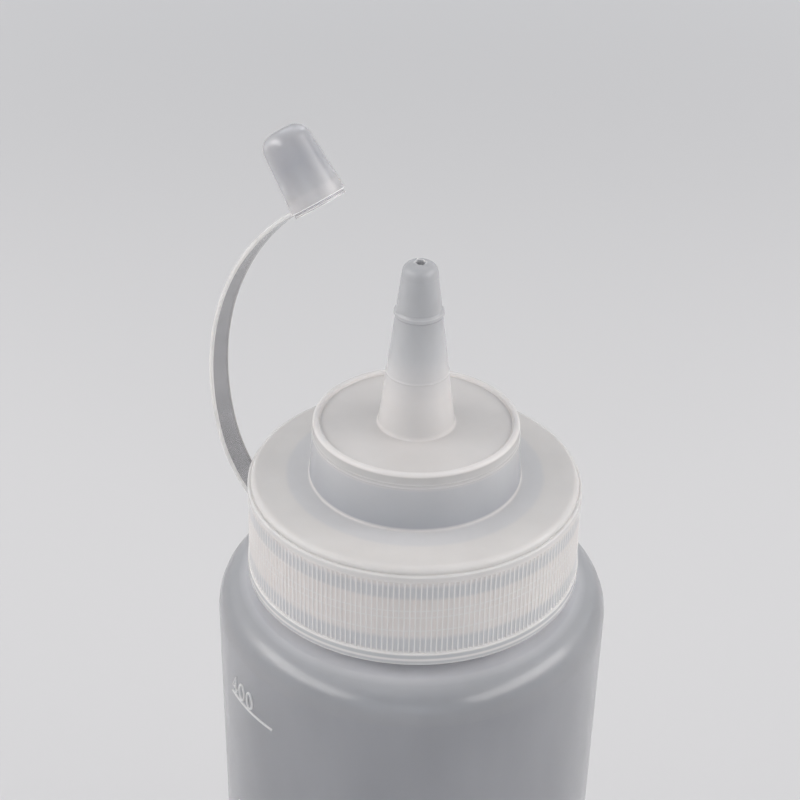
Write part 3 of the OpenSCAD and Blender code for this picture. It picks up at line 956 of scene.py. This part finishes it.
def make_strap():
    line = strap_line()
    section = strap_section()
    root = -JOINTS["strap_swing"]["pos_m"][0] / MM - LID_R + STRAP_SEAT
    cap = line[-1][2] - CAP_LEAD - STRAP_END
    middle = cap - STRAP_BENDS[-1][0] * math.radians(TAB_TURN)

    def at(length):
        near = min(line, key=lambda row: abs(row[2] - length))
        return strap_point(near[0], near[1], 0, 0)

    lower, upper = "strap_lower", "strap_upper"
    tab = middle + TAB_START
    parts = (
        ("strap_root", 0, ROOT_END, ("lid", lower), root, ROOT_BEND, (lower,)),
        ("strap_bow", ROOT_END, tab, (lower, upper), middle, BOW_BEND, (lower, upper)),
        ("strap_tab", tab, math.inf, (upper, "tip_cap"), cap, TAB_BEND, (upper,)),
    )
    for name, low, high, bodies, hinge, bend, nodes in parts:
        mesh = bmesh.new()
        first = max(k for k, row in enumerate(line) if row[2] <= low)
        last = max(k for k, row in enumerate(line) if row[2] <= high)
        rows = []
        for p, heading, length in line[first:last + 1]:
            rows.append([mesh.verts.new(strap_point(p, heading, across, out)) for across, out in section])
        for a, b in zip(rows, rows[1:]):
            skin(mesh, a, b)
        if first == 0:
            mesh.faces.new(rows[0])
        if last == len(line) - 1:
            mesh.faces.new(rows[-1])
        made = placed(name, mesh, STRAP_PLASTIC)
        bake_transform(made)
        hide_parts(*nodes)


make_bottle()
make_marks()
make_lid()
make_cap()
make_strap()
seal = frame["nodes"]["lid_seal"]
seal.data.materials.clear()
seal.data.materials.append(foam())

# Camera at the photo's angle: it looks down at the nozzle from the strap's right
SIGHT_TURN = math.radians(32)
SIGHT_DROP = math.radians(30.99)
CAMERA_ROLL = math.radians(1.158)
CAMERA_DISTANCE = 280.3
AIM_ACROSS = -2.86
AIM_H = 33.24
FOCAL_LENGTH = 74.31
SENSOR_W = 36

to_right = Vector((math.cos(SIGHT_TURN), math.sin(SIGHT_TURN), 0))
to_camera = Vector((
    math.sin(SIGHT_TURN) * math.cos(SIGHT_DROP),
    -math.cos(SIGHT_TURN) * math.cos(SIGHT_DROP),
    math.sin(SIGHT_DROP),
))
aim = to_right * AIM_ACROSS + Vector((0, 0, LID_Z + AIM_H))
lens = bpy.data.cameras.new("camera")
lens.lens = FOCAL_LENGTH
lens.sensor_width = SENSOR_W
lens.clip_start = 0.01
lens.clip_end = 50
camera = bpy.data.objects.new("camera", lens)
camera.location = (aim + to_camera * CAMERA_DISTANCE) * MM
camera.rotation_mode = "QUATERNION"
roll = Matrix.Rotation(CAMERA_ROLL, 3, "Z").to_quaternion()
camera.rotation_quaternion = (-to_camera).to_track_quat("-Z", "Y") @ roll
bpy.context.scene.collection.objects.link(camera)
bpy.context.scene.camera = camera

# Floor: pale, with a glow far from the object, where the lamps no longer reach
FLOOR_R = 6.0
FLOOR_GAP = 0.05
FLOOR_COLOUR = (0.66, 0.66, 0.67, 1)
FLOOR_ROUGHNESS = 0.8
FLOOR_SPECULAR = 0.1
GLOW_START, GLOW_FULL = 0.45, 1.9
GLOW = 0.5


def make_floor():
    material = bpy.data.materials.new("floor")
    material.use_nodes = True
    shader = material.node_tree.nodes["Principled BSDF"]
    shader.inputs["Base Color"].default_value = FLOOR_COLOUR
    shader.inputs["Roughness"].default_value = FLOOR_ROUGHNESS
    shader.inputs["Specular IOR Level"].default_value = FLOOR_SPECULAR
    nodes, links = material.node_tree.nodes, material.node_tree.links
    place = nodes.new("ShaderNodeTexCoord")
    reach = nodes.new("ShaderNodeVectorMath")
    reach.operation = "LENGTH"
    links.new(place.outputs["Object"], reach.inputs[0])
    glow = nodes.new("ShaderNodeMapRange")
    glow.interpolation_type = "SMOOTHSTEP"
    glow.inputs["From Min"].default_value = GLOW_START
    glow.inputs["From Max"].default_value = GLOW_FULL
    glow.inputs["To Max"].default_value = GLOW
    links.new(reach.outputs["Value"], glow.inputs["Value"])
    links.new(glow.outputs["Result"], shader.inputs["Emission Strength"])
    shader.inputs["Emission Color"].default_value = (1, 1, 1, 1)
    mesh = bmesh.new()
    bmesh.ops.create_circle(mesh, cap_ends=True, segments=64, radius=FLOOR_R)
    data = bpy.data.meshes.new("floor")
    mesh.to_mesh(data)
    mesh.free()
    data.materials.append(material)
    made = bpy.data.objects.new("floor", data)
    made.location.z = -FLOOR_GAP * MM
    bpy.context.scene.collection.objects.link(made)


make_floor()

# Lamps: two soft boxes that the plastic mirrors, as in the photo, and fills that it doesn't.
# Each has its place across, ahead and up, its width and height, all in metres, its power and its colour.
LIGHT_AIM = Vector((0, 0, 0.14))
WARM_LIGHT = (1.0, 0.965, 0.94)
COOL_LIGHT = (0.91, 0.95, 1.0)
LAMPS = (
    ("soft_box_left", (-0.54, 0.22, 0.52), (0.8, 0.26), 2.0, WARM_LIGHT),
    ("soft_fill_left", (-1.1, -0.2, 0.6), (0.9, 0.9), 6.0, WARM_LIGHT),
    ("soft_box_right", (0.54, 0.22, 0.52), (0.8, 0.26), 2.0, WARM_LIGHT),
    ("soft_fill_right", (1.1, -0.2, 0.6), (0.9, 0.9), 6.0, WARM_LIGHT),
    ("soft_box_top", (0.0, -0.1, 0.85), (0.7, 0.5), 0.7, COOL_LIGHT),
    ("soft_box_front", (0.0, 1.4, 0.6), (1.4, 0.8), 3.0, COOL_LIGHT),
    ("soft_box_back", (0.0, -1.4, 0.6), (1.4, 0.8), 2.8, COOL_LIGHT),
)
MIRRORED = ("soft_box_left", "soft_box_right")


def make_lamps():
    to_front = Vector((math.sin(SIGHT_TURN), -math.cos(SIGHT_TURN), 0))
    for name, (across, ahead, up), (wide, tall), power, colour in LAMPS:
        light = bpy.data.lights.new(name, "AREA")
        light.shape = "RECTANGLE"
        light.size, light.size_y = wide, tall
        light.energy = power
        light.color = colour
        made = bpy.data.objects.new(name, light)
        made.location = to_right * across + to_front * ahead + Vector((0, 0, up))
        made.rotation_euler = (LIGHT_AIM - made.location).to_track_quat("-Z", "Y").to_euler()
        made.visible_glossy = name in MIRRORED
        bpy.context.scene.collection.objects.link(made)


make_lamps()

# World: plain light, with a pale backdrop where it is seen, mirrored or seen through the plastic
WORLD_LIGHT = 0.32
WORLD_SEEN = 0.78
WORLD_COLOUR = (0.92, 0.94, 0.97, 1)


def make_world():
    world = bpy.data.worlds.new("world")
    bpy.context.scene.world = world
    world.use_nodes = True
    nodes, links = world.node_tree.nodes, world.node_tree.links
    backdrop = nodes["Background"]
    backdrop.inputs["Color"].default_value = WORLD_COLOUR
    ray = nodes.new("ShaderNodeLightPath")
    seen = ray.outputs["Is Camera Ray"]
    for kind in ("Is Glossy Ray", "Is Transmission Ray"):
        either = nodes.new("ShaderNodeMath")
        either.operation = "MAXIMUM"
        links.new(seen, either.inputs[0])
        links.new(ray.outputs[kind], either.inputs[1])
        seen = either.outputs["Value"]
    strength = nodes.new("ShaderNodeMapRange")
    strength.inputs["To Min"].default_value = WORLD_LIGHT
    strength.inputs["To Max"].default_value = WORLD_SEEN
    links.new(seen, strength.inputs["Value"])
    links.new(strength.outputs["Result"], backdrop.inputs["Strength"])


make_world()

bpy.context.scene.view_settings.view_transform = "Standard"

bpy.context.view_layer.update()
